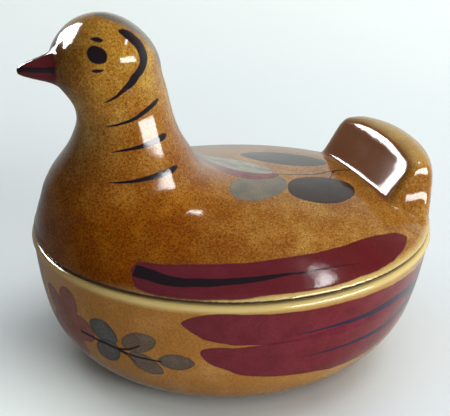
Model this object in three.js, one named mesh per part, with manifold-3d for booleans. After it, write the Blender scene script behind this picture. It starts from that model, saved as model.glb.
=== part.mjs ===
// A lidded candy box in slip-cast stoneware: an oval bowl, and a lid in the form of a sitting bird.
// X runs from the beak (-X) to the tail (+X), Y across, Z up, in millimetres.
// The origin is on the resting plane, under the middle of the whole box.
import * as THREE from "three";
import { mergeVertices } from "three/addons/utils/BufferGeometryUtils.js";
import Module from "manifold-3d";

const wasm = await Module();
wasm.setup();

// Driving dimensions
const rimLength = 195;
const rimWidth = 172.4;
const bowlHeight = 67.3;
const bowlWall = 5;
const bowlFloor = 6;
const birdHeight = 105.7;
const lidWall = 5;
const rimRound = 2.4;
const lidSetback = 0.7;

// Inside corner of the bowl's floor, and its foot: a low ring round a shallow recess
const floorRound = 6;
const footRingWidth = 7;
const footRecess = 1.5;

// Flange under the lid, which drops inside the bowl's mouth
const flangeDrop = 6;
const flangeWall = 4;
const flangeClearance = 1.5;
const flangeRoot = 4;

// Beak: how far it stands out of the face, how deep its root lies in the head, and its root's size
const beakProjection = 13.5;
const beakRoot = 10;
const beakLift = 3.2;
const beakHeight = 24;
const beakWidth = 24;

// Tail, an upturned block with a flat face that leans back under a domed top
const tailWidth = 73.5;
const tailRise = 35.6;
const tailDepth = 41.2;
const tailOverhang = 0.7;
const tailPlanRadius = 66;

// Overrun of every cut
const overrun = 3;

// Counts of facets
const ovalSides = 60;
const beakSides = 24;
const tailSides = 40;
const bodyRings = 27;
const crownRings = 7;
const tailRings = 15;
const bowlRings = 12;
const edgeSteps = 3;

const halfLength = rimLength / 2;
const halfWidth = rimWidth / 2;

// Outside of the bowl, from the foot up: height as a share of the bowl's, reach as a share of the rim's
const bowlShares = [
  [0, 0.577],
  [0.06, 0.686],
  [0.2, 0.814],
  [0.4, 0.911],
  [0.65, 0.961],
  [0.9, 0.988],
  [1, 0.999],
];

// The bird from the rim to the widest level of the head. Each row is one level section: its rise as a
// share of the bird's height, its front and back as shares of half the rim's length (front is toward
// the beak), and its half-width as a share of half the rim's width.
const bodyShares = [
  [0.044, -0.984, 0.96, 0.955],
  [0.073, -0.983, 0.918, 0.878],
  [0.101, -0.981, 0.84, 0.803],
  [0.139, -0.976, 0.68, 0.7],
  [0.177, -0.967, 0.385, 0.598],
  [0.215, -0.959, 0.114, 0.51],
  [0.253, -0.946, -0.069, 0.452],
  [0.309, -0.915, -0.19, 0.405],
  [0.357, -0.876, -0.236, 0.376],
  [0.404, -0.839, -0.266, 0.349],
  [0.461, -0.809, -0.306, 0.314],
  [0.536, -0.788, -0.343, 0.277],
  [0.612, -0.804, -0.366, 0.251],
  [0.688, -0.858, -0.386, 0.251],
  [0.763, -0.925, -0.413, 0.28],
];

// Crown over those levels: where its top lies, how full its arch is, and the share of its last ring
// that closes as a cap
const crownReachShare = -0.678;
const crownFullness = 1.8;
const crownCapShare = 0.4;

// The beak from its tip inward: place along its length, and the share of its full height and width there
const beakShares = [
  [0, 0.07],
  [0.06, 0.165],
  [0.2, 0.28],
  [0.38, 0.395],
  [0.6, 0.535],
  [0.8, 0.75],
  [1, 1],
];

// The tail from its lowest level section up: rise as a share of the tail's; front and back as shares of
// the way from the foot of its face to its back; half-width as a share of half its width; squareness.
const tailShares = [
  [0.107, 0.002, 0.976, 1.38, 6],
  [0.225, 0.073, 0.986, 1.235, 6.5],
  [0.343, 0.143, 0.996, 1.12, 7],
  [0.47, 0.218, 1, 1.05, 7],
  [0.597, 0.295, 0.998, 1.02, 7],
  [0.712, 0.364, 0.985, 0.995, 6.5],
  [0.798, 0.415, 0.963, 0.96, 5.5],
  [0.856, 0.447, 0.937, 0.925, 4.8],
  [0.902, 0.477, 0.903, 0.83, 4],
  [0.948, 0.515, 0.854, 0.66, 3.3],
  [0.983, 0.566, 0.796, 0.42, 2.7],
  [1, 0.631, 0.716, 0.14, 2.4],
];
const tailWaistRow = 4;
const tailFaceFootShare = 0.86;

const [browShare, faceShare, napeShare, headHalfShare] = bodyShares.at(-1);
const faceReach = -faceShare * halfLength;
const beakReach = faceReach + beakProjection;
const tailReach = halfLength + tailOverhang;

const glaze = (name, color) => {
  const material = new THREE.MeshStandardMaterial({ color, roughness: 0.16, metalness: 0 });
  material.name = name;
  return material;
};
const bowlGlaze = glaze("bowl_glaze", 0xb07a35);
const lidGlaze = glaze("lid_glaze", 0xa56a2a);

// A level oval: its front and back along X, its half-width across Y, and its height.
function oval(front, back, half, height) {
  const middle = (front + back) / 2;
  const reach = (back - front) / 2;
  return Array.from({ length: ovalSides }, (_, side) => {
    const angle = (side / ovalSides) * Math.PI * 2;
    return new THREE.Vector3(middle + reach * Math.cos(angle), half * Math.sin(angle), height);
  });
}

// An oval parallel to the rim, set in from it by an inset.
function rimOval(inset, height) {
  return oval(inset - halfLength, halfLength - inset, halfWidth - inset, height);
}

// One skin over a stack of rings, from the lowest outside ring on. A loop joins the last to the first;
// otherwise both ends are closed.
function skin(rings, loop = false) {
  const count = rings[0].length;
  const points = rings.flat();
  const index = [];
  const bands = loop ? rings.length : rings.length - 1;
  for (let band = 0; band < bands; band++) {
    const low = band * count;
    const high = ((band + 1) % rings.length) * count;
    for (let side = 0; side < count; side++) {
      const next = (side + 1) % count;
      index.push(low + side, low + next, high + next, low + side, high + next, high + side);
    }
  }
  if (!loop) {
    const last = (rings.length - 1) * count;
    const under = points.push(centreOf(rings[0])) - 1;
    const over = points.push(centreOf(rings.at(-1))) - 1;
    for (let side = 0; side < count; side++) {
      const next = (side + 1) % count;
      index.push(under, next, side, over, last + side, last + next);
    }
  }
  const geometry = new THREE.BufferGeometry().setFromPoints(points);
  geometry.setIndex(index);
  return geometry;
}

function centreOf(ring) {
  const sum = ring.reduce((total, point) => total.add(point), new THREE.Vector3());
  return sum.divideScalar(ring.length);
}

function solidOf(geometry) {
  const bare = geometry.clone();
  bare.deleteAttribute("normal");
  bare.deleteAttribute("uv");
  const merged = mergeVertices(bare);
  return new wasm.Manifold(
    new wasm.Mesh({
      numProp: 3,
      vertProperties: new Float32Array(merged.attributes.position.array),
      triVerts: new Uint32Array(merged.index.array),
    }),
  );
}

function meshOf(name, solid, material) {
  const { vertProperties, triVerts } = solid.getMesh();
  const geometry = new THREE.BufferGeometry();
  geometry.setAttribute("position", new THREE.BufferAttribute(vertProperties, 3));
  geometry.setIndex(new THREE.BufferAttribute(triVerts, 1));
  geometry.computeVertexNormals();
  const mesh = new THREE.Mesh(geometry, material);
  mesh.name = name;
  return mesh;
}

// A curve through two columns of a table of shares: the first column against another.
function shareCurve(table, column) {
  return new THREE.SplineCurve(table.map((row) => new THREE.Vector2(row[0], row[column])));
}

// Ovals round a quarter turn at the rim's edge, from the level face to the upright side or back.
function edgeRound(inset, height, toSide) {
  return Array.from({ length: edgeSteps + 1 }, (_, step) => {
    const turn = (step / edgeSteps) * (Math.PI / 2);
    const angle = toSide ? turn : Math.PI / 2 - turn;
    const away = rimRound * (1 - Math.sin(angle));
    const drop = rimRound * (1 - Math.cos(angle));
    return rimOval(inset + away, toSide ? height + drop : height - drop);
  });
}

// The bowl: foot ring, belly, rounded rim with a level land, and an even wall inside.
function makeBowl() {
  const outline = shareCurve(bowlShares, 1);
  const belly = Array.from({ length: bowlRings }, (_, ring) => outline.getPoint(ring / bowlRings));
  const outside = belly.map(({ x: rise, y: reach }) => {
    return oval(-reach * halfLength, reach * halfLength, reach * halfWidth, rise * bowlHeight);
  });
  const within = (share, inset, height) => {
    const length = share * halfLength - inset;
    return oval(-length, length, share * halfWidth - inset, height);
  };
  const footShare = bowlShares[0][1];
  const recess = [
    within(footShare, footRingWidth + footRecess, footRecess),
    within(footShare, footRingWidth, 0),
  ];
  const above = belly.filter(({ x: rise }) => rise * bowlHeight > bowlFloor + floorRound / 2);
  const inside = above.map(({ x: rise, y: reach }) => within(reach, bowlWall, rise * bowlHeight));
  const floor = within(above[0].y, bowlWall + floorRound, bowlFloor);
  const rim = edgeRound(0, bowlHeight, false);
  const mouth = rimOval(bowlWall, bowlHeight);
  return solidOf(skin([...recess, ...outside, ...rim, mouth, ...inside.reverse(), floor]));
}

// The bird's level sections above the rim, up to the crown.
function bodySections() {
  const fronts = shareCurve(bodyShares, 1);
  const backs = shareCurve(bodyShares, 2);
  const halves = shareCurve(bodyShares, 3);
  const sections = Array.from({ length: bodyRings }, (_, ring) => {
    const place = ring / (bodyRings - 1);
    const front = fronts.getPoint(place);
    return oval(
      front.y * halfLength,
      backs.getPoint(place).y * halfLength,
      halves.getPoint(place).y * halfWidth,
      bowlHeight + front.x * birdHeight,
    );
  });
  const middle = (faceShare + napeShare) / 2;
  const reach = (napeShare - faceShare) / 2;
  for (let ring = 1; ring <= crownRings; ring++) {
    const turn = ((ring - crownCapShare) / crownRings) * (Math.PI / 2);
    const lift = Math.sin(turn);
    const shrink = (1 - lift ** crownFullness) ** (1 / crownFullness);
    const centre = THREE.MathUtils.lerp(middle, crownReachShare, lift * lift);
    sections.push(
      oval(
        (centre - reach * shrink) * halfLength,
        (centre + reach * shrink) * halfLength,
        headHalfShare * shrink * halfWidth,
        bowlHeight + THREE.MathUtils.lerp(browShare, 1, lift) * birdHeight,
      ),
    );
  }
  return sections;
}

// The same skin moved inward everywhere by a thickness, along its own normals.
function inwardSkin(geometry, thickness) {
  geometry.computeVertexNormals();
  const { position, normal } = geometry.attributes;
  for (let vertex = 0; vertex < position.count; vertex++) {
    position.setXYZ(
      vertex,
      position.getX(vertex) - normal.getX(vertex) * thickness,
      position.getY(vertex) - normal.getY(vertex) * thickness,
      position.getZ(vertex) - normal.getZ(vertex) * thickness,
    );
  }
  return geometry;
}

// The beak: a round cone that flares into the face.
function beak() {
  const girths = shareCurve(beakShares, 1);
  const steps = beakShares.length * 2;
  const rings = Array.from({ length: steps + 1 }, (_, step) => {
    const { x: along, y: girth } = girths.getPoint(step / steps);
    return Array.from({ length: beakSides }, (_, side) => {
      const angle = (side / beakSides) * Math.PI * 2;
      return new THREE.Vector3(
        along * (beakProjection + beakRoot) - beakReach,
        (beakWidth / 2) * girth * Math.cos(angle),
        bowlHeight + browShare * birdHeight + beakLift + (beakHeight / 2) * girth * Math.sin(angle),
      );
    });
  });
  return solidOf(skin(rings));
}

// The tail, drawn in all round by an inset: level sections that are flat in front, bowed behind and
// square at the corners, and that close to a dome.
function tail(inset) {
  const [fronts, backs, halves, squares] = [1, 2, 3, 4].map((column) => shareCurve(tailShares, column));
  const faceFoot = tailReach - tailDepth;
  const [, waistFront, waistBack] = tailShares[tailWaistRow];
  const slim = 1 - (2 * inset) / ((waistBack - waistFront) * tailDepth);
  const rings = Array.from({ length: tailRings + 1 }, (_, ring) => {
    const place = ring / tailRings;
    const { x: rise, y: front } = fronts.getPoint(place);
    const back = backs.getPoint(place).y;
    const middle = faceFoot + ((front + back) / 2) * tailDepth;
    const reach = ((back - front) / 2) * tailDepth * slim;
    const half = halves.getPoint(place).y * (tailWidth / 2 - inset);
    const faceHalf = THREE.MathUtils.lerp(tailFaceFootShare, 1, rise) * (tailWidth / 2 - inset);
    const flare = Math.max(half - faceHalf, 0);
    const height = bowlHeight + rise * (tailRise - inset);
    return tailSection(middle - reach, middle + reach, half, flare, squares.getPoint(place).y, height);
  });
  return solidOf(skin(rings));
}

// A level section of the tail. Its half-width grows by the flare from its face to its back.
function tailSection(front, back, half, flare, squareness, height) {
  return Array.from({ length: tailSides }, (_, side) => {
    const angle = (side / tailSides) * Math.PI * 2;
    const along = Math.cos(angle);
    const across = Math.sin(angle);
    const radius = (Math.abs(along) ** squareness + Math.abs(across) ** squareness) ** (-1 / squareness);
    const place = (1 + along * radius) / 2;
    const y = (half - flare * (1 - Math.sqrt(place))) * across * radius;
    const bow = (place * y * y) / (2 * tailPlanRadius);
    return new THREE.Vector3(THREE.MathUtils.lerp(front, back, place) - bow, y, height);
  });
}

// The lid: the bird's body on a rounded rim, with its flange below, hollow all through.
function makeLid() {
  const sections = bodySections();
  const flangeInset = bowlWall + flangeClearance;
  const flange = [rimOval(flangeInset, bowlHeight - flangeDrop), rimOval(flangeInset, bowlHeight)];
  const rim = edgeRound(lidSetback, bowlHeight, true);
  const body = solidOf(skin([...flange, ...rim, ...sections]));

  const low = bowlHeight - flangeDrop - overrun;
  const upright = [rimOval(lidSetback, low - lidWall), rimOval(lidSetback, bowlHeight)];
  const everyOther = sections.filter((_, ring) => ring % 2 === 0);
  const hollow = solidOf(inwardSkin(skin([...upright, ...everyOther]), lidWall));
  const throatInset = flangeInset + flangeWall;
  const collar = solidOf(
    skin(
      [
        rimOval(throatInset, low),
        rimOval(lidSetback, low),
        rimOval(lidSetback, bowlHeight),
        rimOval(throatInset, bowlHeight + flangeRoot),
      ],
      true,
    ),
  );
  const cavity = hollow.add(tail(lidWall)).subtract(collar);
  return body.add(tail(0)).add(beak()).subtract(cavity);
}

const box = new THREE.Group();
box.name = "candy_box";
box.position.x = (beakReach - tailReach) / 2;
box.add(meshOf("bowl", makeBowl(), bowlGlaze));
box.add(meshOf("lid", makeLid(), lidGlaze));

export default box;
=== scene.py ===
"""Candy box in glazed stoneware: a smooth bowl and a bird-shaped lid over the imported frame, with
their glazes and brushwork, on a pale studio floor. Lengths in this file are in metres."""

import math

import bmesh
import bpy
from bpy.props import FloatProperty, FloatVectorProperty, IntProperty, PointerProperty
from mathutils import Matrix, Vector


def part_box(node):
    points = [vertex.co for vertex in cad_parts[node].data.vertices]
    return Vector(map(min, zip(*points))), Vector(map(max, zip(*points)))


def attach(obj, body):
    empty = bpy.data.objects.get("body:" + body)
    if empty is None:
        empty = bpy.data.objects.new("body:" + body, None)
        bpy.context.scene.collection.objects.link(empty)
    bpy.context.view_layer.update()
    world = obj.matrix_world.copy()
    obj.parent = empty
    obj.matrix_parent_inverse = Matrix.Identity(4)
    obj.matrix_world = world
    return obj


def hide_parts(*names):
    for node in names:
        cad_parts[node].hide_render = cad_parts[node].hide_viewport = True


bl_info = {
    "name": "Candy box",
    "version": (1, 0, 0),
    "blender": (4, 5, 0),
    "location": "View3D > Sidebar > Candy box",
    "description": "Builds a lidded candy box in glazed stoneware, with its glazes and brushwork",
    "category": "Add Mesh",
}

MM = 0.001
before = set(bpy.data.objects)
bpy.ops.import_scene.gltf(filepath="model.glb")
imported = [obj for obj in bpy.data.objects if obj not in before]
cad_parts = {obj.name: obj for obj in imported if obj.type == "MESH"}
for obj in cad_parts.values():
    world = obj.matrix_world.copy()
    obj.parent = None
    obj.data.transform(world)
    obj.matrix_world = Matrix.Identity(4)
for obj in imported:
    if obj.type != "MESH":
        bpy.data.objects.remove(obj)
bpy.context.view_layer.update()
BOWL_LOW, BOWL_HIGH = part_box("bowl")
LID_LOW, LID_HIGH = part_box("lid")
RIM = BOWL_HIGH.z
MIDDLE = (BOWL_HIGH.x + BOWL_LOW.x) / 2
HALF_LENGTH = (BOWL_HIGH.x - BOWL_LOW.x) / 2
HALF_WIDTH = BOWL_HIGH.y
BIRD_HEIGHT = LID_HIGH.z - RIM

# Outside of the bowl, from the foot up: height as a share of the bowl's, reach as a share of the rim's
BOWL_SHARES = [
    (0, 0.577),
    (0.06, 0.686),
    (0.2, 0.814),
    (0.4, 0.911),
    (0.65, 0.961),
    (0.9, 0.988),
    (1, 0.999),
]

# How much wider than high the bowl's inside floor corner is
FLOOR_CORNER_REACH = 1.6

# Level sections of the bird from the rim to the widest level of its head: rise as a share of the
# bird's height, front and back as shares of half the rim's length, half-width as a share of half
# its width
BODY_SHARES = [
    (0.044, -0.984, 0.96, 0.955),
    (0.073, -0.983, 0.918, 0.878),
    (0.101, -0.981, 0.84, 0.803),
    (0.139, -0.976, 0.68, 0.7),
    (0.177, -0.967, 0.385, 0.598),
    (0.215, -0.959, 0.114, 0.51),
    (0.253, -0.946, -0.069, 0.452),
    (0.309, -0.915, -0.19, 0.405),
    (0.357, -0.876, -0.236, 0.376),
    (0.404, -0.839, -0.266, 0.349),
    (0.461, -0.809, -0.306, 0.314),
    (0.536, -0.788, -0.343, 0.277),
    (0.612, -0.804, -0.366, 0.251),
    (0.688, -0.858, -0.386, 0.251),
    (0.763, -0.925, -0.413, 0.28),
]
CROWN_REACH_SHARE = -0.678
CROWN_RINGS = 26
CROWN_FULLNESS = 1.8
CHEEK_FULLNESS = 1.3

# The beak from its tip inward: place along its length, and the share of its full girth there
BEAK_SHARES = [(0, 0.05), (0.06, 0.165), (0.2, 0.28), (0.38, 0.395), (0.6, 0.535), (0.8, 0.75), (1, 1)]

# Level sections of the tail: rise, front and back as shares of its size, half-width share, squareness
TAIL_SHARES = [
    (0.107, 0.002, 0.976, 1.38, 6),
    (0.225, 0.073, 0.986, 1.235, 6.5),
    (0.343, 0.143, 0.996, 1.12, 7),
    (0.47, 0.218, 1, 1.05, 7),
    (0.597, 0.295, 0.998, 1.02, 7),
    (0.712, 0.364, 0.985, 0.995, 6.5),
    (0.798, 0.415, 0.963, 0.96, 5.5),
    (0.856, 0.447, 0.937, 0.925, 4.8),
    (0.902, 0.477, 0.903, 0.83, 4),
    (0.948, 0.515, 0.854, 0.66, 3.3),
    (0.983, 0.566, 0.796, 0.42, 2.7),
    (1, 0.631, 0.716, 0.14, 2.4),
]
TAIL_WAIST_ROW = 4
TAIL_SIDES = 120
TAIL_FACE_FOOT_SHARE = 0.86


def length(name, description, default):
    """A size of a piece, in metres."""
    return FloatProperty(name=name, description=description, default=default, unit="LENGTH", precision=5)


def colour(name, description, *default):
    """A colour of a glaze or a paint, linear."""
    settings = {"description": description, "default": default, "subtype": "COLOR", "size": 3}
    return FloatVectorProperty(name=name, **settings)


def number(name, description, default, unit):
    """A number of the studio, in the unit that Blender keeps it in: radians, millimetres or watts."""
    return FloatProperty(name=name, description=description, default=default, unit=unit)


def count(name, description, default):
    return IntProperty(name=name, description=description, default=default, min=3)


class CandyBoxSizes(bpy.types.PropertyGroup):
    """Sizes of the two pieces that the frame doesn't give."""

    wall: length("Wall", "Thickness of both pieces", 5 * MM)
    floor: length("Floor", "Thickness of the bowl's floor", 6 * MM)
    floor_round: length("Floor round", "Inside corner of the bowl's floor", 9 * MM)
    rim_round: length("Rim round", "Rounding of the rims", 2.4 * MM)
    mouth_round: length("Mouth round", "Rounding of the bowl's inner edge", 1.2 * MM)
    foot_ring: length("Foot ring", "Width of the ring that the bowl stands on", 7 * MM)
    foot_recess: length("Foot recess", "Depth of the recess inside the foot ring", 1.5 * MM)
    foot_edge: length("Foot edge", "Softening of the foot ring's outer edge", 0.8 * MM)
    lid_setback: length("Lid setback", "How far the lid's edge stays inside the bowl's", 0.7 * MM)
    flange_drop: length("Flange drop", "How far the lid's flange drops into the bowl", 6 * MM)
    flange_wall: length("Flange wall", "Thickness of the flange", 4 * MM)
    flange_gap: length("Flange gap", "Clearance round the flange", 1.5 * MM)
    flange_root: length("Flange root", "Height of the flange's root inside the lid", 4 * MM)
    beak_length: length("Beak length", "From the beak's tip to its root in the head", 23.5 * MM)
    beak_lift: length("Beak lift", "Height of the beak over the widest level of the head", 3.2 * MM)
    beak_girth: length("Beak girth", "Width of the beak's root", 24 * MM)
    tail_width: length("Tail width", "Width of the upturned tail", 73.5 * MM)
    tail_rise: length("Tail rise", "Height of the tail over the rim", 35.6 * MM)
    tail_depth: length("Tail depth", "From the foot of the tail's face to its back", 41.2 * MM)
    tail_bow: length("Tail bow", "Radius of the tail's back in plan", 66 * MM)
    voxel: length("Voxel", "Grain at which the bird's forms are fused", 1.1 * MM)
    softening: count("Softening", "Passes that soften the joins between the forms", 4)
    sides: count("Sides", "Facets round each oval", 160)


class CandyBoxGlazes(bpy.types.PropertyGroup):
    """Colours of the glazes and the brushwork, and of the shade and light painted on them."""

    honey: colour("Honey", "Body glaze", 0.275, 0.128, 0.020)
    amber: colour("Amber", "Darker clouds in the body glaze", 0.20, 0.066, 0.007)
    # On the back of the bowl this colour is painted light, paler where the bowl faces the lamps on the
    # right
    straw_and_painted_light: colour("Straw", "Paler clouds in the body glaze, and the back of the bowl", 0.39, 0.220, 0.060)
    gold: colour("Gold", "Tint of the head", 1.08, 1.2, 0.9)
    toast: colour("Toast", "Tint of the breast", 0.56, 0.35, 0.06)
    # This colour is partly a browner glaze and partly painted shade, round the beak and on the front of
    # the breast and neck
    shade: colour("Shade", "Tint round the beak and on the front of the neck", 0.34, 0.23, 0.25)
    dusk: colour("Dusk", "Tint of the bowl", 0.90, 0.81, 0.95)
    # This colour is partly thin glaze at the rims and partly painted light: along the lid's edge, under
    # the bowl's rim and on the tail's top
    cream_and_painted_light: colour("Cream", "Glaze where it runs thin at the rims", 0.52, 0.42, 0.17)
    speckle: colour("Speckle", "Fine iron specks", 0.080, 0.022, 0.003)
    crimson: colour("Crimson", "Wings of the bowl", 0.150, 0.014, 0.026)
    wine: colour("Wine", "Wings of the lid", 0.082, 0.004, 0.007)
    maroon: colour("Maroon", "Wings where the paint is thick", 0.060, 0.005, 0.009)
    plum: colour("Plum", "Wings at their front ends", 0.080, 0.012, 0.022)
    beak: colour("Beak", "Paint on the beak", 0.052, 0.007, 0.008)
    # This colour also darkens the bowl's lowest few millimetres as painted shade where it meets the floor
    umber_and_painted_shade: colour("Umber", "Face of the tail and foot of the bowl", 0.19, 0.060, 0.020)
    slate: colour("Slate", "Crown, and leaves where the paint is thin", 0.066, 0.070, 0.068)
    leaf: colour("Leaf", "Leaves where the paint is thick", 0.016, 0.014, 0.017)
    moss: colour("Moss", "Palest leaf on the back", 0.15, 0.125, 0.085)
    pearl: colour("Pearl", "Grey petals", 0.30, 0.27, 0.21)
    rose: colour("Rose", "Petals", 0.17, 0.050, 0.055)
    # This colour also paints the shade in the gap between the lid and the bowl
    ink_and_painted_seam_shade: colour("Ink", "Eye and brush lines", 0.010, 0.006, 0.008)
    indigo: colour("Indigo", "Lines on the wings of the bowl", 0.018, 0.014, 0.030)
    inside: colour("Inside", "Glaze inside the box", 0.50, 0.34, 0.15)
    clay: colour("Clay", "Bare clay of the foot ring and pale front of the bowl", 0.42, 0.30, 0.20)


class CandyBoxStudio(bpy.types.PropertyGroup):
    """Camera, lights and floor."""

    azimuth: number("Azimuth", "Camera's turn round the box", math.radians(-24.5), "ROTATION")
    elevation: number("Elevation", "Camera's height angle", math.radians(24.66), "ROTATION")
    roll: number("Roll", "Camera's tilt", math.radians(2.2), "ROTATION")
    distance: length("Distance", "Camera's distance from its target", 530 * MM)
    aim_across: length("Aim across", "Place of the camera's target along the box", -2.455 * MM)
    aim_height: length("Aim height", "Height of the camera's target", 73.1 * MM)
    lens: number("Lens", "Focal length", 88.2, "CAMERA")
    window: number("Window", "Power of the window that the glazes mirror", 15.0, "POWER")
    back: number("Back", "Power of the pane behind that the glazes mirror", 21.0, "POWER")
    key: number("Key", "Power of the light from the right", 29.0, "POWER")
    fill: number("Fill", "Power of the light from the window", 58.0, "POWER")
    over: number("Over", "Power of the light from above", 16.0, "POWER")
    sky: colour("Sky", "Surroundings behind the box on the right", 0.84, 0.92, 0.90)
    room: colour("Room", "Surroundings in front of the box on the left", 0.045, 0.045, 0.045)
    floor: colour("Floor", "Colour of the floor", 0.80, 0.87, 0.85)
    # Painted shadow on the floor under the bowl
    painted_contact_shadow: colour("Contact", "Colour of the floor under the bowl", 0.14, 0.10, 0.08)
    # Painted shade on the floor round the box
    painted_floor_shade: colour("Floor shade", "Colour of the floor round the box", 0.60, 0.65, 0.67)


def sample(rows, place):
    """A smooth curve through the rows of a table, read at a share of the way from first to last."""
    step = place * (len(rows) - 1)
    low = min(int(step), len(rows) - 2)
    t = step - low
    around = (rows[max(0, min(len(rows) - 1, low + offset))] for offset in (-1, 0, 1, 2))
    values = []
    for before, start, end, after in zip(*around):
        leave, arrive = (end - before) / 2, (after - start) / 2
        cube = 2 * start - 2 * end + leave + arrive
        square = 3 * end - 3 * start - 2 * leave - arrive
        values.append(((cube * t + square) * t + leave) * t + start)
    return values


def steps(number_of_steps):
    return [index / number_of_steps for index in range(number_of_steps + 1)]


def bring_up(piece):
    """Makes a piece the only one selected, and the active one."""
    bpy.ops.object.select_all(action="DESELECT")
    piece.select_set(True)
    bpy.context.view_layer.objects.active = piece


def bake(piece):
    """Puts a piece's place, turn and scale into its vertices."""
    bring_up(piece)
    bpy.ops.object.transform_apply(location=True, rotation=True, scale=True)


def span(front, back, half, height):
    """A level oval between two places along X: its middle, its reach, its half-width and its height."""
    return ((front + back) / 2, (back - front) / 2, half, height)


def rim_oval(inset, height):
    return (MIDDLE, HALF_LENGTH - inset, HALF_WIDTH - inset, height)


def share_oval(share, inset, height):
    return (MIDDLE, share * HALF_LENGTH - inset, share * HALF_WIDTH - inset, height)


def stack(name, ovals, sides):
    """A closed skin: a filled circle, extruded from each oval to the next and resized to it."""
    middle, reach, half, height = ovals[0]
    bpy.ops.object.select_all(action="DESELECT")
    place = (middle, 0, height)
    bpy.ops.mesh.primitive_circle_add(vertices=sides, radius=1, fill_type="NGON", location=place)
    piece = bpy.context.object
    piece.name = piece.data.name = name
    piece.scale = (reach, half, 1)
    bake(piece)
    bpy.ops.object.mode_set(mode="EDIT")
    bpy.ops.mesh.select_all(action="SELECT")
    for to_middle, to_reach, to_half, to_height in ovals[1:]:
        place = (to_middle, 0, to_height)
        move = (to_middle - middle, 0, to_height - height)
        bpy.ops.mesh.extrude_region_move(TRANSFORM_OT_translate={"value": move})
        grow = (to_reach / reach, to_half / half, 1)
        bpy.ops.transform.resize(value=grow, center_override=place)
        middle, reach, half, height = to_middle, to_reach, to_half, to_height
    face_outward()
    return piece


def face_outward():
    """Turns the faces of the piece in edit mode outward, and leaves edit mode."""
    bpy.ops.mesh.select_all(action="SELECT")
    bpy.ops.mesh.normals_make_consistent(inside=False)
    bpy.ops.object.mode_set(mode="OBJECT")


def modify(piece, kind, **settings):
    """Adds a modifier and applies it."""
    bring_up(piece)
    modifier = piece.modifiers.new(kind.title(), kind)
    for key, value in settings.items():
        setattr(modifier, key, value)
    bpy.ops.object.modifier_apply(modifier=modifier.name)


def combine(piece, other, operation):
    """Joins or cuts with another closed piece, which is used up."""
    modify(piece, "BOOLEAN", object=other, operation=operation, solver="EXACT")
    bpy.data.objects.remove(other)


def rim_edge(inset, height, radius, upward):
    """Ovals round the edge of a rim: from the level face out to the side, or from the side in to it."""
    ovals = []
    for share in steps(6):
        angle = (share if upward else 1 - share) * math.pi / 2
        away = radius * (1 - math.sin(angle))
        drop = radius * (1 - math.cos(angle))
        ovals.append(rim_oval(inset + away, height + drop if upward else height - drop))
    return ovals


def model_bowl(sizes):
    """The bowl, from the middle of its foot recess round the rim to the middle of its floor."""
    foot = BOWL_SHARES[0][1]
    ring, recess, edge = sizes.foot_ring, sizes.foot_recess, sizes.foot_edge
    under = [
        share_oval(foot, 2 * ring, recess),
        share_oval(foot, ring + recess, recess),
        share_oval(foot, ring + edge / 2, edge / 2),
        share_oval(foot, ring, 0),
        share_oval(foot, edge, 0),
        share_oval(foot, -edge / 4, edge / 3),
    ]
    belly = [sample(BOWL_SHARES, place) for place in steps(48)]
    top = RIM - sizes.rim_round
    outside = [share_oval(reach, 0, rise * RIM) for rise, reach in belly if edge < rise * RIM < top]
    rim = rim_edge(0, RIM, sizes.rim_round, upward=False)
    mouth = []
    for share in steps(4):
        away = sizes.mouth_round * (1 - math.sin(share * math.pi / 2))
        drop = sizes.mouth_round * (1 - math.cos(share * math.pi / 2))
        mouth.append(rim_oval(sizes.wall - away, RIM - drop))
    turn = sizes.floor_round
    spring = sizes.floor + turn
    below = RIM - sizes.mouth_round * 2
    inside = [row for row in reversed(belly) if spring < row[0] * RIM < below]
    inner = [share_oval(reach, sizes.wall, rise * RIM) for rise, reach in inside]
    corner = []
    for share in steps(7)[1:]:
        angle = share * math.pi / 2
        in_by = sizes.wall + FLOOR_CORNER_REACH * turn * (1 - math.cos(angle))
        corner.append(share_oval(inside[-1][1], in_by, sizes.floor + turn * (1 - math.sin(angle))))
    hub = share_oval(foot / 2, 0, sizes.floor)
    bowl = stack("glazed_bowl", [*under, *outside, *rim, *mouth, *inner, *corner, hub], sizes.sides)
    bpy.ops.object.shade_smooth_by_angle(angle=math.radians(40))
    return bowl


def body_ovals():
    """Level sections of the bird's body, neck and head, up to its crown."""
    ovals = []
    for place in steps(72):
        rise, front, back, half = sample(BODY_SHARES, place)
        ovals.append((front, back, half, rise))
    brow, face, nape, half = BODY_SHARES[-1]
    middle, reach = (face + nape) / 2, (nape - face) / 2
    for ring in range(1, CROWN_RINGS + 1):
        lift = math.sin((ring - 0.3) / CROWN_RINGS * math.pi / 2)
        shrink = (1 - lift**CROWN_FULLNESS) ** (1 / CROWN_FULLNESS)
        centre = middle + (CROWN_REACH_SHARE - middle) * lift * lift
        rise = brow + (1 - brow) * lift
        cheek = CHEEK_FULLNESS * lift * lift * (1 - lift)
        ovals.append((centre - reach * shrink, centre + reach * shrink, half * (shrink + cheek), rise))
    body = []
    for front, back, half, rise in ovals:
        ends = MIDDLE + front * HALF_LENGTH, MIDDLE + back * HALF_LENGTH
        body.append(span(*ends, half * HALF_WIDTH, RIM + rise * BIRD_HEIGHT))
    return body


def model_beak(sizes):
    """The beak, stacked upright from its root to its tip, then laid forward."""
    ovals = []
    for place in steps(40):
        along, girth = sample(BEAK_SHARES, 1 - place)
        radius = girth * sizes.beak_girth / 2
        ovals.append((0, radius, radius, (1 - along) * sizes.beak_length))
    beak = stack("beak", ovals, 72)
    brow = RIM + BODY_SHARES[-1][0] * BIRD_HEIGHT + sizes.beak_lift
    beak.rotation_euler = (0, -math.pi / 2, 0)
    beak.location = (LID_LOW.x + sizes.beak_length, 0, brow)
    bake(beak)
    return beak


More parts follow.
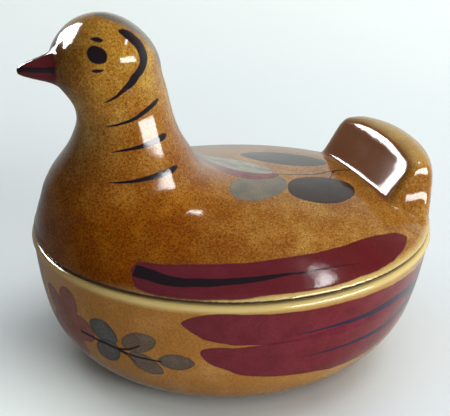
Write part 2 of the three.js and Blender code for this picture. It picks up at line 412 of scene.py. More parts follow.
def tail_ring(row, sizes, inset, slim):
    """A level section of the tail: flat in front, square at its corners, wider and bowed behind."""
    rise, front, back, half, squareness = row
    foot = LID_HIGH.x - sizes.tail_depth
    middle = foot + (front + back) / 2 * sizes.tail_depth
    reach = (back - front) / 2 * sizes.tail_depth * slim
    half_width = sizes.tail_width / 2 - inset
    face = half_width * (TAIL_FACE_FOOT_SHARE + (1 - TAIL_FACE_FOOT_SHARE) * rise)
    flare = max(half * half_width - face, 0)
    ring = []
    for side in range(TAIL_SIDES):
        angle = side / TAIL_SIDES * 2 * math.pi
        along, across = math.cos(angle), math.sin(angle)
        radius = (abs(along) ** squareness + abs(across) ** squareness) ** (-1 / squareness)
        place = (1 + along * radius) / 2
        y = (half * half_width - flare * (1 - math.sqrt(max(place, 0)))) * across * radius
        x = middle + reach * along * radius - place * y * y / (2 * sizes.tail_bow)
        ring.append(Vector((x, y, RIM + rise * (sizes.tail_rise - inset))))
    return ring


def model_tail(sizes, inset):
    """The tail, drawn in all round by an inset: a filled circle, extruded and laid on each section."""
    waist = TAIL_SHARES[TAIL_WAIST_ROW]
    slim = 1 - 2 * inset / ((waist[2] - waist[1]) * sizes.tail_depth)
    rings = [tail_ring(sample(TAIL_SHARES, place), sizes, inset, slim) for place in steps(50)]
    bpy.ops.object.select_all(action="DESELECT")
    bpy.ops.mesh.primitive_circle_add(vertices=TAIL_SIDES, radius=1, fill_type="NGON")
    tail = bpy.context.object
    tail.name = tail.data.name = "tail"
    bpy.ops.object.mode_set(mode="EDIT")
    bpy.ops.mesh.select_all(action="SELECT")
    for index, ring in enumerate(rings):
        if index:
            bpy.ops.mesh.extrude_region_move()
        lay(tail, ring)
    face_outward()
    return tail


def lay(piece, ring):
    """Lays the selected ring of a piece in edit mode on the points of another, in the same turn."""
    mesh = bmesh.from_edit_mesh(piece.data)
    chosen = in_turn([(vertex.co.copy(), vertex) for vertex in mesh.verts if vertex.select])
    goal = in_turn([(point, point) for point in ring])
    for (_, vertex), (point, _) in zip(chosen, goal):
        vertex.co = point
    bmesh.update_edit_mesh(piece.data)


def in_turn(pairs):
    """Pairs of a place and a thing, in the order in which they go round their centre."""
    centre = sum((place for place, _ in pairs), Vector()) / len(pairs)
    return sorted(pairs, key=lambda pair: math.atan2(pair[0].y - centre.y, pair[0].x - centre.x))


def model_lid(sizes):
    """The lid: the bird's body, beak and tail fused, then hollowed with an even wall."""
    side, sides = sizes.lid_setback, sizes.sides
    flange_inset = sizes.wall + sizes.flange_gap
    body = body_ovals()
    flange = [rim_oval(flange_inset, RIM - sizes.flange_drop), rim_oval(flange_inset, RIM)]
    brim = rim_edge(side, RIM, sizes.rim_round, upward=True)
    lid = stack("glazed_lid", [*flange, *brim, *body], sides)
    combine(lid, model_tail(sizes, 0), "UNION")
    combine(lid, model_beak(sizes), "UNION")

    mouth = RIM - sizes.flange_drop
    low = mouth - 3 * MM
    upright = [rim_oval(side, low), rim_oval(side, RIM)]
    hollow = stack("hollow", [*upright, *body], sides)
    bring_up(hollow)
    bpy.ops.object.mode_set(mode="EDIT")
    bpy.ops.mesh.select_all(action="SELECT")
    bpy.ops.transform.shrink_fatten(value=-sizes.wall)
    bpy.ops.object.mode_set(mode="OBJECT")
    throat_inset = flange_inset + sizes.flange_wall
    root = RIM + sizes.flange_root
    collar = [rim_oval(-side, low - sizes.wall), rim_oval(-side, RIM), rim_oval(throat_inset, root)]
    combine(hollow, stack("collar", collar, sides), "DIFFERENCE")
    combine(hollow, model_tail(sizes, sizes.wall), "UNION")
    edge = sizes.mouth_round
    throat = [
        rim_oval(throat_inset - edge, mouth - edge),
        rim_oval(throat_inset - edge, mouth),
        rim_oval(throat_inset - edge / 3, mouth + edge / 3),
        rim_oval(throat_inset, mouth + edge),
        rim_oval(throat_inset, root + edge),
    ]
    combine(hollow, stack("throat", throat, sides), "UNION")
    for piece in (lid, hollow):
        for _ in range(2):
            piece.data.materials.append(None)
    bring_up(hollow)
    bpy.ops.object.mode_set(mode="EDIT")
    bpy.ops.mesh.select_all(action="SELECT")
    hollow.active_material_index = 1
    bpy.ops.object.material_slot_assign()
    bpy.ops.object.mode_set(mode="OBJECT")
    modify(lid, "REMESH", mode="VOXEL", voxel_size=sizes.voxel)
    modify(lid, "SMOOTH", factor=0.5, iterations=sizes.softening)
    combine(lid, hollow, "DIFFERENCE")
    bring_up(lid)
    bpy.ops.object.shade_smooth_by_angle(angle=math.radians(35))
    return lid


def settle(piece, node):
    """Puts a finished piece in its node's place: it rides on the node's body, and the node is hidden."""
    bpy.context.view_layer.update()
    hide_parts(node)
    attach(piece, node)


class Value:
    """A number or a colour carried by a socket, with Python's arithmetic."""

    def __init__(self, graph, socket):
        self.graph, self.socket = graph, socket

    def __add__(self, other):
        return self.graph.math("ADD", self, other)

    def __sub__(self, other):
        return self.graph.math("SUBTRACT", self, other)

    def __rsub__(self, other):
        return self.graph.math("SUBTRACT", other, self)

    def __mul__(self, other):
        return self.graph.math("MULTIPLY", self, other)

    def __truediv__(self, other):
        return self.graph.math("DIVIDE", self, other)

    def __rtruediv__(self, other):
        return self.graph.math("DIVIDE", other, self)

    def __pow__(self, other):
        return self.graph.math("POWER", self, other)

    def __abs__(self):
        return self.graph.math("ABSOLUTE", self)

    __radd__ = __add__
    __rmul__ = __mul__


class Graph:
    """The nodes of a material or of the surroundings."""

    def __init__(self, owner):
        owner.use_nodes = True
        self.tree = owner.node_tree
        self.tree.nodes.clear()

    def node(self, kind, settings, inputs):
        """Adds a node: its settings first, then the values and links of its sockets."""
        node = self.tree.nodes.new(kind)
        for key, value in settings.items():
            setattr(node, key, value)
        for key, value in inputs.items():
            socket = node.inputs[key]
            if isinstance(value, Value):
                self.tree.links.new(value.socket, socket)
            else:
                socket.default_value = (*value, 1) if socket.type == "RGBA" else value
        return node

    def value(self, kind, settings, inputs, output=0):
        return Value(self, self.node(kind, settings, inputs).outputs[output])

    def math(self, operation, *values, clamp=False):
        settings = {"operation": operation, "use_clamp": clamp}
        return self.value("ShaderNodeMath", settings, dict(enumerate(values)))

    def least(self, first, *others):
        for other in others:
            first = self.math("MINIMUM", first, other)
        return first

    def most(self, first, other):
        return self.math("MAXIMUM", first, other)

    def distance(self, u, v):
        return self.math("SQRT", u**2 + v**2)

    def soft(self, distance, width):
        """Rises from 0 to 1 over a width."""
        return self.math("DIVIDE", distance, width, clamp=True)

    def blend(self, share, under, over):
        return self.value("ShaderNodeMix", {"data_type": "RGBA"}, {0: share, 6: under, 7: over}, 2)

    def coordinates(self, space):
        """The coordinates of a texture space: as a whole, then one by one."""
        place = self.value("ShaderNodeTexCoord", {}, {}, space)
        parts = self.node("ShaderNodeSeparateXYZ", {}, {0: place}).outputs
        return place, *(Value(self, part) for part in parts)

    def surface(self, kind, inputs, end="ShaderNodeOutputMaterial"):
        """Ends the nodes in a shader."""
        self.node(end, {}, {"Surface": self.value(kind, {}, inputs)})

    def curve(self, along, points):
        """A smooth line through points, read at a value along it."""
        first, last = points[0][0], points[-1][0]
        low = min(height for _, height in points)
        rise = max(height for _, height in points) - low
        share = self.math("DIVIDE", along - first, last - first, clamp=True)
        node = self.node("ShaderNodeFloatCurve", {}, {"Value": share})
        line = node.mapping.curves[0]
        line.points[0].location = (0, (points[0][1] - low) / rise)
        line.points[1].location = (1, (points[-1][1] - low) / rise)
        for place, height in points[1:-1]:
            line.points.new((place - first) / (last - first), (height - low) / rise)
        for point in line.points:
            point.handle_type = "AUTO_CLAMPED"
        node.mapping.update()
        return Value(self, node.outputs[0]) * rise + low


# Radius of the rim in the measure of a painting's turn and ring
RIM_RADIUS = 90


class Painting(Graph):
    """A glaze with brushwork over it. Its lengths are millimetres and X is from the middle of the box.
    The turn runs from the beak's end round either side of the box, and near_turn round the -Y side
    alone. The ring runs outward from the middle. Both are measured as if the rim were round."""

    def __init__(self, name, glazes):
        self.material = bpy.data.materials.new(name)
        super().__init__(self.material)
        self.glazes = glazes
        self.place, *parts = self.coordinates("Object")
        along, across, up = (part / MM for part in parts)
        hand = (self.noise(8, 1) - 0.5) * 1.1
        self.x = along - MIDDLE / MM + hand
        self.y = across - hand
        self.z = up + hand
        self.side = abs(self.y)
        self.level = up
        reach, half = HALF_LENGTH / MM, HALF_WIDTH / MM
        self.turn = self.math("ARCTAN2", self.side / half, self.x / -reach) * RIM_RADIUS
        self.near_turn = self.math("ARCTAN2", self.y / -half, self.x / -reach) * RIM_RADIUS
        self.ring = self.distance(self.x / reach, self.y / half) * RIM_RADIUS
        self.mottle = self.noise(9, 4)
        self.grain = self.noise(0.75, 2)
        self.tone = None

    def noise(self, size, detail=2):
        """Noise from 0 to 1 with clouds of a size."""
        inputs = {"Vector": self.place, "Scale": 1 / (size * MM), "Detail": detail, "Roughness": 0.55}
        return self.value("ShaderNodeTexNoise", {}, inputs)

    def glaze(self, dark, middle, pale, specks):
        """Lays the clouded and speckled body glaze."""
        clouds = self.noise(13, 3)
        tone = self.blend(self.soft(clouds - 0.3, 0.36), dark, middle)
        tone = self.blend(self.soft(clouds - 0.5, 0.3) * 0.6, tone, pale)
        tone = self.blend(self.soft(0.52 - self.noise(1.3, 3), 0.2) * specks * 0.7, tone, pale)
        self.tone = self.blend(self.soft(self.grain - 0.47, 0.14) * specks, tone, self.glazes.speckle)

    def paint(self, inside, tone, cover=1.0, edge=0.45):
        """Lays a colour wherever the distance inside a shape is positive."""
        self.tone = self.blend(self.soft(inside, edge) * cover, self.tone, tone)

    def stain(self, inside, tint, cover, edge):
        """Tints what lies under a shape and keeps its speckle."""
        share = self.soft(inside, edge) * cover
        settings = {"data_type": "RGBA", "blend_type": "MULTIPLY"}
        self.tone = self.value("ShaderNodeMix", settings, {0: share, 6: self.tone, 7: tint}, 2)

    def wash(self, inside, pale, deep, pool=1.4, cover=0.96):
        """A brush-load of paint: mottled inside, deeper where it pools along its edges."""
        tone = self.blend(self.soft(self.mottle - 0.1, 0.5) * 0.9, deep, pale)
        tone = self.blend(self.soft(self.grain - 0.48, 0.16) * 0.45, tone, deep)
        tone = self.blend(self.soft(pool - inside, pool) * 0.6, tone, deep)
        self.paint(inside, tone, cover)

    def wing_tone(self, tone):
        """A wing's colour, which darkens towards its front end."""
        return self.blend(self.soft(self.turn - 70, 120), self.glazes.plum, tone)

    def line(self, u, v, centre, half):
        """How far inside a line a place lies: the line's half-width changes along it."""
        first, last = centre[0][0], centre[-1][0]
        return self.least(self.curve(u, half) + 0.2 - abs(v - self.curve(u, centre)), u - first, last - u)

    def band(self, u, v, low, high):
        """How far a place lies inside a shape between a low and a high edge."""
        return self.least(v - self.curve(u, low), self.curve(u, high) - v)

    def leaf(self, u, v, start, end, half, bow=0.0):
        """How far a place lies inside a leaf, which may be bowed to one side."""
        size = math.dist(start, end)
        du, dv = (end[0] - start[0]) / size, (end[1] - start[1]) / size
        along = ((u - start[0]) * du + (v - start[1]) * dv) / size
        swell = self.most(along * (1 - along) * 4, 0)
        across = (v - start[1]) * du - (u - start[0]) * dv - swell * bow
        return swell**0.6 * half - abs(across)

    def finish(self, roughness, index):
        """Joins the colour to a glossy shader with a softly uneven skin."""
        height = self.noise(8, 2) * 0.85 + self.grain * 0.15
        uneven = {"Strength": 0.35, "Distance": 0.3 * MM, "Height": height}
        bump = self.value("ShaderNodeBump", {}, uneven)
        rough = roughness + self.mottle * 0.05 + self.soft(self.grain - 0.5, 0.2) * 0.03
        inputs = {"Base Color": self.tone, "Roughness": rough, "Normal": bump, "IOR": index}
        self.surface("ShaderNodeBsdfPrincipled", inputs)
        return self.material


# Places of the brushwork on the lid, in the painting's millimetres. A line is a table of places along
# it, each with the place across it, and its half-widths are another.
# Ring and level of the painted shade in the gap where the lid sits on the bowl
SEAM_SHADE_RING = 86.5
LID_SEAM_SHADE_TOP = 69.5
LID_PAINT_FOOT = 69.2
RIM_LEVEL = 70
FACE = -74
EYE, EYE_RADIUS = (-74.5, 161.2), 3.85
LASHES = (((-75.8, 166.3), (-70.8, 166.6)), ((-77.6, 154.8), (-72.6, 155.3)))
CHEEK = (-68.8, 156.5)
CHEEK_ARC = [
    (-101, 17.1), (-81, 13.3), (-60, 11), (-36, 10.8), (-16, 12.1), (-1, 13.7), (12, 14.5), (26, 14.5),
    (39, 14.2), (53, 13.9), (67, 13.5),
]
CHEEK_HALF = [
    (-101, 0.2), (-85, 0.9), (-60, 1.5), (-30, 2.1), (0, 2.3), (35, 2.1), (52, 1.6), (62, 0.9), (67, 0.3),
]
CROWN_LEAF = ((-70, 0), (-29, 0), 16)
BEAK_ROOT, BEAK_SPLIT = -88.2, 151.8
NECK_AXIS = -57
NECK_STRIPES = (
    [(58, 138.2), (63, 137.6), (73, 136.2), (85, 134.1), (96, 132.1), (109, 130.4), (129, 128.2)],
    [(57, 123.4), (62, 123), (75, 121.9), (89, 120.8), (105, 119.4), (120, 118)],
    [(58, 110.1), (60, 109.9), (72, 109), (85, 108.4), (98, 107.4), (111, 106.7), (121, 106.3)],
)
NECK_STRIPE_HALF = ((0, 0.1), (0.05, 0.9), (0.13, 1.3), (0.3, 1.25), (0.6, 0.8), (0.85, 0.45), (1, 0.1))
LID_WING_TOP = [
    (60.5, 84.4), (61.8, 82.2), (62.6, 80.4), (68, 79.2), (74.8, 78.1), (90.6, 74.8), (114.9, 71.7),
    (142.3, 69.5), (175, 70.2), (203.1, 76.1), (208.2, 80.2), (209, 83.4),
]
LID_WING_FOOT = [
    (60.5, 83.6), (61.9, 84.6), (64.6, 87), (68.8, 88.7), (79.4, 89.2), (105.8, 88.8), (125.9, 87.6),
    (152.9, 87.4), (178.9, 87.2), (192.5, 86), (200.5, 85), (209, 82.6),
]
LID_STROKE = [
    (62.6, 83.3), (70.3, 83.2), (77.4, 83.6), (92.6, 82.6), (114.2, 80.2), (137.7, 78.6), (153.2, 79),
    (168.8, 80.9),
]
LID_STROKE_HALF = [(62.6, 1.7), (66, 2.0), (92, 1.8), (114, 1.5), (137, 0.6), (155, 0.3), (168.8, 0.05)]
TAIL_FACE_FOOT, TAIL_FACE_LEAN = (57.1, 71.1), 0.69
BACK_LEAVES = (((57, 14), (14, 27), 11.5), ((54, -14), (17, -26), 14))
BACK_MOSS_LEAF = ((21, -7), (-14, -29), 10)
BACK_STEM = [(19.2, -3), (32.7, -3.3), (44.6, -1.7), (55.7, 1.9), (65.1, 3.1)]
BACK_STEM_HALF = [(19.2, 0.3), (45, 0.6), (65.1, 0.5)]
BACK_TWIG, BACK_TWIG_HALF = [(-24, 38), (-8, 47), (2, 55)], [(-24, 0.2), (2, 0.6)]


def paint_head(art, glazes):
    """Eyes, cheek marks, crown and beak, over painted shade round the beak."""
    x, z = art.x, art.z
    # Painted shade round the beak, over a browner glaze there
    art.stain(art.least(FACE - x, z - 132), glazes.shade, 0.9, 12)
    eye = EYE_RADIUS - art.distance(x - EYE[0], (z - EYE[1]) * 1.05)
    art.paint(eye, glazes.ink_and_painted_seam_shade)
    for start, end in LASHES:
        art.paint(art.leaf(x, z, start, end, 1.0), glazes.ink_and_painted_seam_shade)
    over, behind = z - CHEEK[1], x - CHEEK[0]
    turned = art.math("ARCTAN2", over, behind) * math.degrees(1)
    arc = art.line(turned, art.distance(behind, over), CHEEK_ARC, CHEEK_HALF)
    art.paint(art.least(arc, art.side - 4), glazes.ink_and_painted_seam_shade)
    crown = art.least(art.leaf(x, art.y, *CROWN_LEAF), z - 150)
    art.paint(crown, glazes.slate, 0.8, 5)
    art.wash(art.least(BEAK_ROOT - x, z - 135), glazes.beak, glazes.maroon)
    split = art.least(1.4 - abs(z - BEAK_SPLIT), BEAK_ROOT - 0.4 - x)
    art.paint(split, glazes.ink_and_painted_seam_shade)


def paint_spray(art, glazes):
    """The leaves, petals and stems on the bird's back."""
    x, y = art.x, art.y
    back = art.z - RIM_LEVEL
    for shape in BACK_LEAVES:
        art.wash(art.least(art.leaf(x, y, *shape), back), glazes.leaf, glazes.ink_and_painted_seam_shade, 3, 0.93)
    art.wash(art.least(art.leaf(x, y, *BACK_MOSS_LEAF), back), glazes.moss, glazes.slate)
    for start, end, half, bow, pale, deep in (
        ((21, -4), (-19, 7), 6.4, 5.0, glazes.rose, glazes.maroon),
        ((20, -1), (-15, 13), 5.0, 2.0, glazes.pearl, glazes.slate),
        ((21, 2), (-10, 20), 5.0, -1.5, glazes.pearl, glazes.slate),
    ):
        art.wash(art.least(art.leaf(x, y, start, end, half, bow), back), pale, deep)
    art.paint(art.least(art.line(x, y, BACK_STEM, BACK_STEM_HALF), back), glazes.ink_and_painted_seam_shade)
    art.paint(art.least(art.line(y, x, BACK_TWIG, BACK_TWIG_HALF), back), glazes.ink_and_painted_seam_shade)


def paint_lid(art, glazes):
    """The lid's brushwork: head, neck, wings, tail and back, over the tints of its glaze and painted
    shade and light.
    """
    x, z = art.x, art.z
    breast = art.least(art.soft(10 - x, 60), art.soft(130 - z, 40))
    art.stain(breast, glazes.toast, 1, 1)
    # Painted shade on the front of the breast and neck below the head
    art.stain(art.least(FACE - x, 130 - z), glazes.shade, 0.25, 14)
    art.stain(z - 118, glazes.gold, 1, 30)
    # Paler band along the lid's lower edge: thin glaze, with a painted highlight that grows towards the
    # back
    art.paint(72 - art.level, glazes.cream_and_painted_light, art.soft(art.turn - 50, 70) * 0.6, 2)
    # Painted shade along the lid's lower edge, in the gap over the bowl
    art.paint(art.least(LID_SEAM_SHADE_TOP - art.level, art.ring - SEAM_SHADE_RING), glazes.ink_and_painted_seam_shade, 0.95, 0.35)
    # Paler top of the tail: partly its glaze, partly painted light
    tail_top = art.least(x - 55, z - 96)
    art.paint(tail_top, glazes.cream_and_painted_light, 0.45, 9)
    paint_head(art, glazes)
    around_neck = art.math("ARCTAN2", art.side, x - NECK_AXIS) * math.degrees(1)
    for stripe in NECK_STRIPES:
        first, last = stripe[0][0], stripe[-1][0]
        half = [(first + share * (last - first), width) for share, width in NECK_STRIPE_HALF]
        art.paint(art.line(around_neck, z, stripe, half), glazes.ink_and_painted_seam_shade)
    wing = art.band(art.turn, art.ring, LID_WING_TOP, LID_WING_FOOT)
    over_foot = art.level - LID_PAINT_FOOT
    wing = art.least(wing, over_foot, 95 - art.level)
    art.wash(wing, art.wing_tone(glazes.wine), glazes.maroon)
    stroke = art.line(art.turn, art.ring, LID_STROKE, LID_STROKE_HALF)
    art.paint(art.least(stroke, over_foot), glazes.ink_and_painted_seam_shade)
    face = TAIL_FACE_FOOT[0] + (z - TAIL_FACE_FOOT[1]) * TAIL_FACE_LEAN
    art.paint(art.least(1.5 - abs(x - face), 32 - art.side, z - 78.5), glazes.umber_and_painted_shade, 0.84, 0.8)
    paint_spray(art, glazes)


# Places of the brushwork on the bowl: along the turn and up, in the painting's millimetres
# Foot of the painted shade along the bowl's rim, in the gap under the lid
BOWL_SEAM_SHADE_FOOT = 67.9
UPPER_WING_TOP = [
    (86, 57.6), (87.5, 59.6), (90.1, 61.1), (94.2, 62.6), (104, 64.1), (130, 63.1), (152.3, 62.8),
    (174.6, 62), (204.8, 60.7), (240, 57), (258, 52),
]
UPPER_WING_FOOT = [
    (86, 57.6), (90, 53.8), (96.2, 50.1), (104.4, 47.7), (116, 46.9), (205, 45), (240, 48), (258, 52),
]
LOWER_WING_TOP = [
    (94.1, 43.4), (96.2, 45.4), (100.4, 46.1), (108.6, 46.4), (130, 48), (205, 52), (236, 47),
]
LOWER_WING_FOOT = [
    (94.1, 43.4), (95.4, 40), (98.4, 36.1), (104.8, 33.3), (111.5, 29.9), (125.3, 27.1), (145.4, 25.4),
    (163.8, 23), (188.1, 24.8), (205.6, 34.2), (222, 42), (236, 47),
]
BOWL_STROKES = (
    ([(134, 50.6), (165, 51), (193.8, 51.2), (214.9, 48.2), (245, 50)],
     [(134, 0.2), (150, 0.7), (165, 1.2), (180, 1.6), (196, 2.2), (214.9, 3.2), (235, 2.4), (245, 0.2)]),
    ([(139, 37), (165, 37.2), (187.5, 37.4), (198.6, 39.5), (209.1, 42.2), (232, 47)],
     [(139, 0.2), (155, 0.6), (170, 1.0), (185, 1.5), (200, 2.1), (212, 2.6), (224, 2.0), (232, 0.2)]),
)
FLOWER = (22.9, 40)
BOWL_LEAVES = (
    ((56, 41), (41, 47), 6.4, 0.95), ((56, 38), (42, 29), 6.2, 0.92), ((58, 40), (75, 47), 5.6, 0.78),
    ((61, 36), (77, 28), 5.6, 0.8), ((75, 35.4), (92, 36.6), 4.8, 0.82),
)
BOWL_STEMS = (
    [(32.6, 38.3), (42, 37.8), (55.3, 36.6), (64, 35.3), (77.1, 35.1)],
    [(55.3, 36.6), (61, 38.4), (67.4, 42)],
    [(55.3, 36.6), (60, 34.5), (64.3, 31.6)],
)


def paint_bowl(art, glazes):
    """The bowl's brushwork: pale rim, wings, flower and leaves, over the tints of its glaze and painted
    shade and light.
    """
    turn, z = art.turn, art.z
    art.stain(RIM_LEVEL - art.level, glazes.dusk, 1, 1)
    # Painted light: the back of the bowl, which faces the lamps on the right, is painted paler
    art.paint(turn - 110, glazes.straw_and_painted_light, 0.5, 90)
    art.paint(44 - turn, glazes.clay, 0.45, 60)
    # Paler band under the bowl's rim: thin glaze, with a painted highlight that is weaker at the front
    art.paint(art.level - 62.8, glazes.cream_and_painted_light, art.soft(turn + 20, 90) * 0.7, 3)
    # Painted shade along the bowl's rim, in the gap under the lid
    art.paint(art.least(art.level - BOWL_SEAM_SHADE_FOOT, art.ring - SEAM_SHADE_RING), glazes.ink_and_painted_seam_shade, 0.95, 0.35)
    # Painted shade on the bowl's lowest few millimetres, where it meets the floor
    art.paint(3 - art.level, glazes.umber_and_painted_shade, 0.6, 2)
    for foot, top in ((UPPER_WING_FOOT, UPPER_WING_TOP), (LOWER_WING_FOOT, LOWER_WING_TOP)):
        art.wash(art.band(turn, z, foot, top), art.wing_tone(glazes.crimson), glazes.maroon)
    for centre, half in BOWL_STROKES:
        art.paint(art.line(turn, z, centre, half), glazes.indigo, 0.95)
    u, v = art.near_turn - FLOWER[0], z - FLOWER[1]
    away = art.distance(u, v)
    lobes = abs(art.math("COSINE", art.math("ARCTAN2", v, u) * 2.5))
    flower = art.least(12 + lobes * 8 - away, away - 2.5)
    art.wash(flower, glazes.rose, glazes.maroon, 2, 0.8)
    art.paint(3.2 - away, glazes.ink_and_painted_seam_shade, 0.6, 1.5)
    for start, end, half, cover in BOWL_LEAVES:
        art.wash(art.leaf(turn, z, start, end, half), glazes.slate, glazes.leaf, 2.2, cover)
    for centre in BOWL_STEMS:
        half = [(centre[0][0], 0.85), (centre[-1][0], 0.45)]
        art.paint(art.line(turn, z, centre, half), glazes.ink_and_painted_seam_shade)


def inside_glaze(glazes):
    """The paler glaze inside both pieces."""
    art = Painting("inside glaze", glazes)
    art.glaze(glazes.honey, glazes.inside, glazes.straw_and_painted_light, 0.4)
    return art.finish(0.1, 1.45)


def is_inside(face):
    """Whether a face of the bowl is on its inside."""
    outward = face.normal.x * (face.center.x - MIDDLE) + face.normal.y * face.center.y
    over_recess, under_rim = 4 * MM, RIM - 1 * MM
    return over_recess < face.center.z < under_rim and (outward < 0 or face.normal.z > 0.99)


class CandyBoxOperator:
    """What the operators share."""

    bl_options = {"REGISTER", "UNDO"}


class OBJECT_OT_candy_box_bowl(CandyBoxOperator, bpy.types.Operator):
    """Models the bowl and glazes it"""

    bl_idname = "object.candy_box_bowl"
    bl_label = "Bowl"

    def execute(self, context):
        glazes = context.scene.candy_box_glazes
        bowl = model_bowl(context.scene.candy_box_sizes)
        art = Painting("bowl glaze", glazes)
        art.glaze(glazes.honey, glazes.honey, glazes.straw_and_painted_light, 0.34)
        paint_bowl(art, glazes)
        art.paint(0.9 - art.level, glazes.clay, 1, 0.5)
        bowl.data.materials.append(art.finish(0.07, 1.38))
        bowl.data.materials.append(inside_glaze(glazes))
        for face in bowl.data.polygons:
            if is_inside(face):
                face.material_index = 1
        settle(bowl, "bowl")
        return {"FINISHED"}


class OBJECT_OT_candy_box_lid(CandyBoxOperator, bpy.types.Operator):
    """Models the lid and glazes it"""

    bl_idname = "object.candy_box_lid"
    bl_label = "Lid"

    def execute(self, context):
        glazes = context.scene.candy_box_glazes
        lid = model_lid(context.scene.candy_box_sizes)
        art = Painting("lid glaze", glazes)
        art.glaze(glazes.amber, glazes.honey, glazes.straw_and_painted_light, 0.66)
        paint_lid(art, glazes)
        lid.data.materials[0] = art.finish(0.07, 1.42)
        lid.data.materials[1] = inside_glaze(glazes)
        settle(lid, "lid")
        return {"FINISHED"}


SENSOR_WIDTH = 36
FLOOR_SIZE = 24


def aim(thing, target):
    """Turns a lamp to face a place."""
    thing.rotation_mode = "QUATERNION"
    thing.rotation_quaternion = (target - thing.location).to_track_quat("-Z", "Y")


def around(turn, rise, distance, centre):
    """A place round the box: turn 0 is in front of it at -Y, a quarter turn at +X, in radians."""
    away = Vector((math.sin(turn) * math.cos(rise), -math.cos(turn) * math.cos(rise), math.sin(rise)))
    return centre + distance * away


def softbox(name, azimuth, elevation, distance, width, height, watts, centre, mirrored):
    """An area light that faces a place: either the glazes mirror it or it lights their colours.
    Its azimuth and elevation are in degrees."""
    data = bpy.data.lights.new(name, "AREA")
    data.shape = "RECTANGLE"
    data.size, data.size_y = width, height
    data.energy = watts
    light = bpy.data.objects.new(name, data)
    light.visible_glossy = mirrored
    light.visible_diffuse = not mirrored
    light.visible_camera = False
    light.location = around(math.radians(azimuth), math.radians(elevation), distance, centre)
    aim(light, centre)
    bpy.context.collection.objects.link(light)


def place_camera(context, studio):
    """The camera, at the photograph's viewing angle."""
    target = Vector((studio.aim_across, 0, studio.aim_height))
    data = bpy.data.cameras.new("Camera")
    data.lens, data.sensor_width = studio.lens, SENSOR_WIDTH
    data.dof.use_dof = False
    camera = bpy.data.objects.new("Camera", data)
    camera.location = around(studio.azimuth, studio.elevation, studio.distance, target)
    camera.rotation_euler = (target - camera.location).to_track_quat("-Z", "Y").to_euler()
    camera.rotation_euler.rotate_axis("Z", studio.roll)
    context.collection.objects.link(camera)
    context.scene.camera = camera


def lay_floor(context, studio):
    """A pale matt floor, with painted shade round the box, a painted shadow under it, and a painted glow
    far off and at its near left.
    """
    bpy.ops.object.select_all(action="DESELECT")
    bpy.ops.mesh.primitive_plane_add(size=FLOOR_SIZE)
    floor = context.object
    floor.name = floor.data.name = "studio floor"
    material = bpy.data.materials.new("studio floor")
    graph = Graph(material)
    place, along, across, _ = graph.coordinates("Object")
    clouds, fibres = (
        graph.value("ShaderNodeTexNoise", {}, {"Vector": place, "Scale": scale, "Detail": 2})
        for scale in (3, 900)
    )
    # Painted shade round the box, taken off at the near left corner
    near = graph.distance(along + 0.1, across)
    shaded = graph.soft(0.75 - near + (clouds - 0.5) * 0.1, 0.5)
    corner = graph.soft(0.02 - along, 0.1) * graph.soft(0.05 - across, 0.08)
    tone = graph.blend(shaded * (1 - corner), studio.floor, studio.painted_floor_shade)
    # Painted shadow under the bowl
    away = graph.math("SQRT", (along - MIDDLE) ** 2 + across**2 * 1.35)
    tone = graph.blend(graph.soft(0.072 - away, 0.016) * 0.7, tone, studio.painted_contact_shadow)
    # Painted glow, by emission, far off and at the near left corner
    far = graph.soft(near - 0.7, 2.2)
    glow = graph.most(far, corner * graph.soft(away - 0.085, 0.07) * 0.3)
    uneven = {"Strength": 0.1, "Distance": 0.1 * MM, "Height": fibres}
    inputs = {
        "Base Color": tone,
        "Roughness": 0.6 + fibres * 0.1,
        "Normal": graph.value("ShaderNodeBump", {}, uneven),
        "Specular IOR Level": 0.1,
        "Emission Color": graph.blend(glow, (0, 0, 0), studio.floor),
        "Emission Strength": 0.75,
    }
    graph.surface("ShaderNodeBsdfPrincipled", inputs)
    floor.data.materials.append(material)
    floor.visible_glossy = False


def light_room(context, studio):
    """Surroundings that are pale behind the box on the right and dark in front of it."""
    world = bpy.data.worlds.new("studio")
    context.scene.world = world
    graph = Graph(world)
    _, along, across, up = graph.coordinates("Generated")
    behind = along * 0.75 + across * 0.66
    lit = graph.most(graph.soft(up + 0.5, 0.5), graph.soft(along - 0.45, 0.35))
    share = graph.soft(behind - 0.1, 0.8) * graph.soft(0.7 - up, 0.5) * lit
    tone = graph.blend(share, studio.room, studio.sky)
    horizon = graph.soft(0.16 - up, 0.2) * 0.12
    tone = graph.blend(horizon, tone, studio.sky)
    graph.surface("ShaderNodeBackground", {"Color": tone, "Strength": 1.0}, "ShaderNodeOutputWorld")


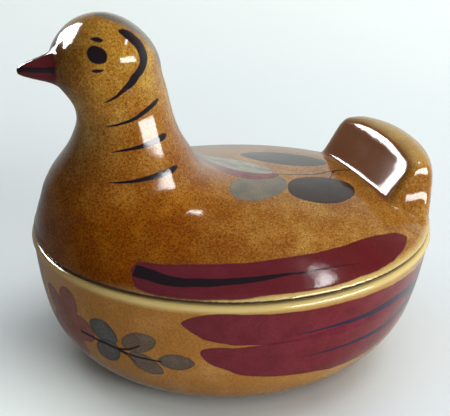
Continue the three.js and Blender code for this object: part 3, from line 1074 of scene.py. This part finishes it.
class OBJECT_OT_candy_box_stage(CandyBoxOperator, bpy.types.Operator):
    """Sets the camera, the lights, the floor and the surroundings"""

    bl_idname = "object.candy_box_stage"
    bl_label = "Stage"

    def execute(self, context):
        studio = context.scene.candy_box_studio
        place_camera(context, studio)
        lay_floor(context, studio)
        light_room(context, studio)
        middle = Vector((0, 0, RIM))
        head = Vector((LID_LOW.x + 42 * MM, 0, LID_HIGH.z - 30 * MM))
        tail = Vector((LID_HIGH.x - 25 * MM, -10 * MM, RIM + 23 * MM))
        window, back = studio.window, studio.back
        # Name, azimuth, elevation, distance, width, height, power, what it faces, whether it is mirrored
        for lamp in (
            ("window", 36, 9, 0.9, 0.68, 0.29, window, head, True),
            ("pane", -153, 31.5, 1.5, 0.58, 0.30, back, middle, True),
            ("low pane", -131, 27, 0.6, 0.14, 0.10, back * 0.08, tail, True),
            ("brow pane", -157, 22, 0.2, 0.062, 0.08, back * 0.022, head, True),
            ("skylight", 84, 60, 0.9, 0.26, 0.06, window * 0.07, middle, True),
            ("key", 104, 50, 2.4, 1.5, 1.5, studio.key, middle, False),
            ("fill", 28, 11, 2.2, 1.2, 0.8, studio.fill, middle, False),
            ("over", 0, 88, 1.3, 1.6, 1.6, studio.over, middle, False),
        ):
            softbox(*lamp)
        context.scene.view_settings.view_transform = "Standard"
        return {"FINISHED"}


class VIEW3D_PT_candy_box(bpy.types.Panel):
    bl_label = "Candy box"
    bl_space_type = "VIEW_3D"
    bl_region_type = "UI"
    bl_category = "Candy box"

    def draw(self, context):
        for name in SETTINGS:
            group = getattr(context.scene, name)
            column = self.layout.column()
            for key in group.bl_rna.properties.keys():
                if key not in ("rna_type", "name"):
                    column.prop(group, key)
        for operator in OPERATORS:
            self.layout.operator(operator.bl_idname)


SETTINGS = {
    "candy_box_sizes": CandyBoxSizes,
    "candy_box_glazes": CandyBoxGlazes,
    "candy_box_studio": CandyBoxStudio,
}
OPERATORS = (OBJECT_OT_candy_box_bowl, OBJECT_OT_candy_box_lid, OBJECT_OT_candy_box_stage)


def register():
    for group in (*SETTINGS.values(), *OPERATORS, VIEW3D_PT_candy_box):
        bpy.utils.register_class(group)
    for name, group in SETTINGS.items():
        setattr(bpy.types.Scene, name, PointerProperty(type=group))


def unregister():
    for name in SETTINGS:
        delattr(bpy.types.Scene, name)
    for group in reversed((*SETTINGS.values(), *OPERATORS, VIEW3D_PT_candy_box)):
        bpy.utils.unregister_class(group)


def main():
    """Builds the box and its stage."""
    register()
    bpy.ops.object.candy_box_bowl()
    bpy.ops.object.candy_box_lid()
    bpy.ops.object.candy_box_stage()


if __name__ == "__main__":
    main()
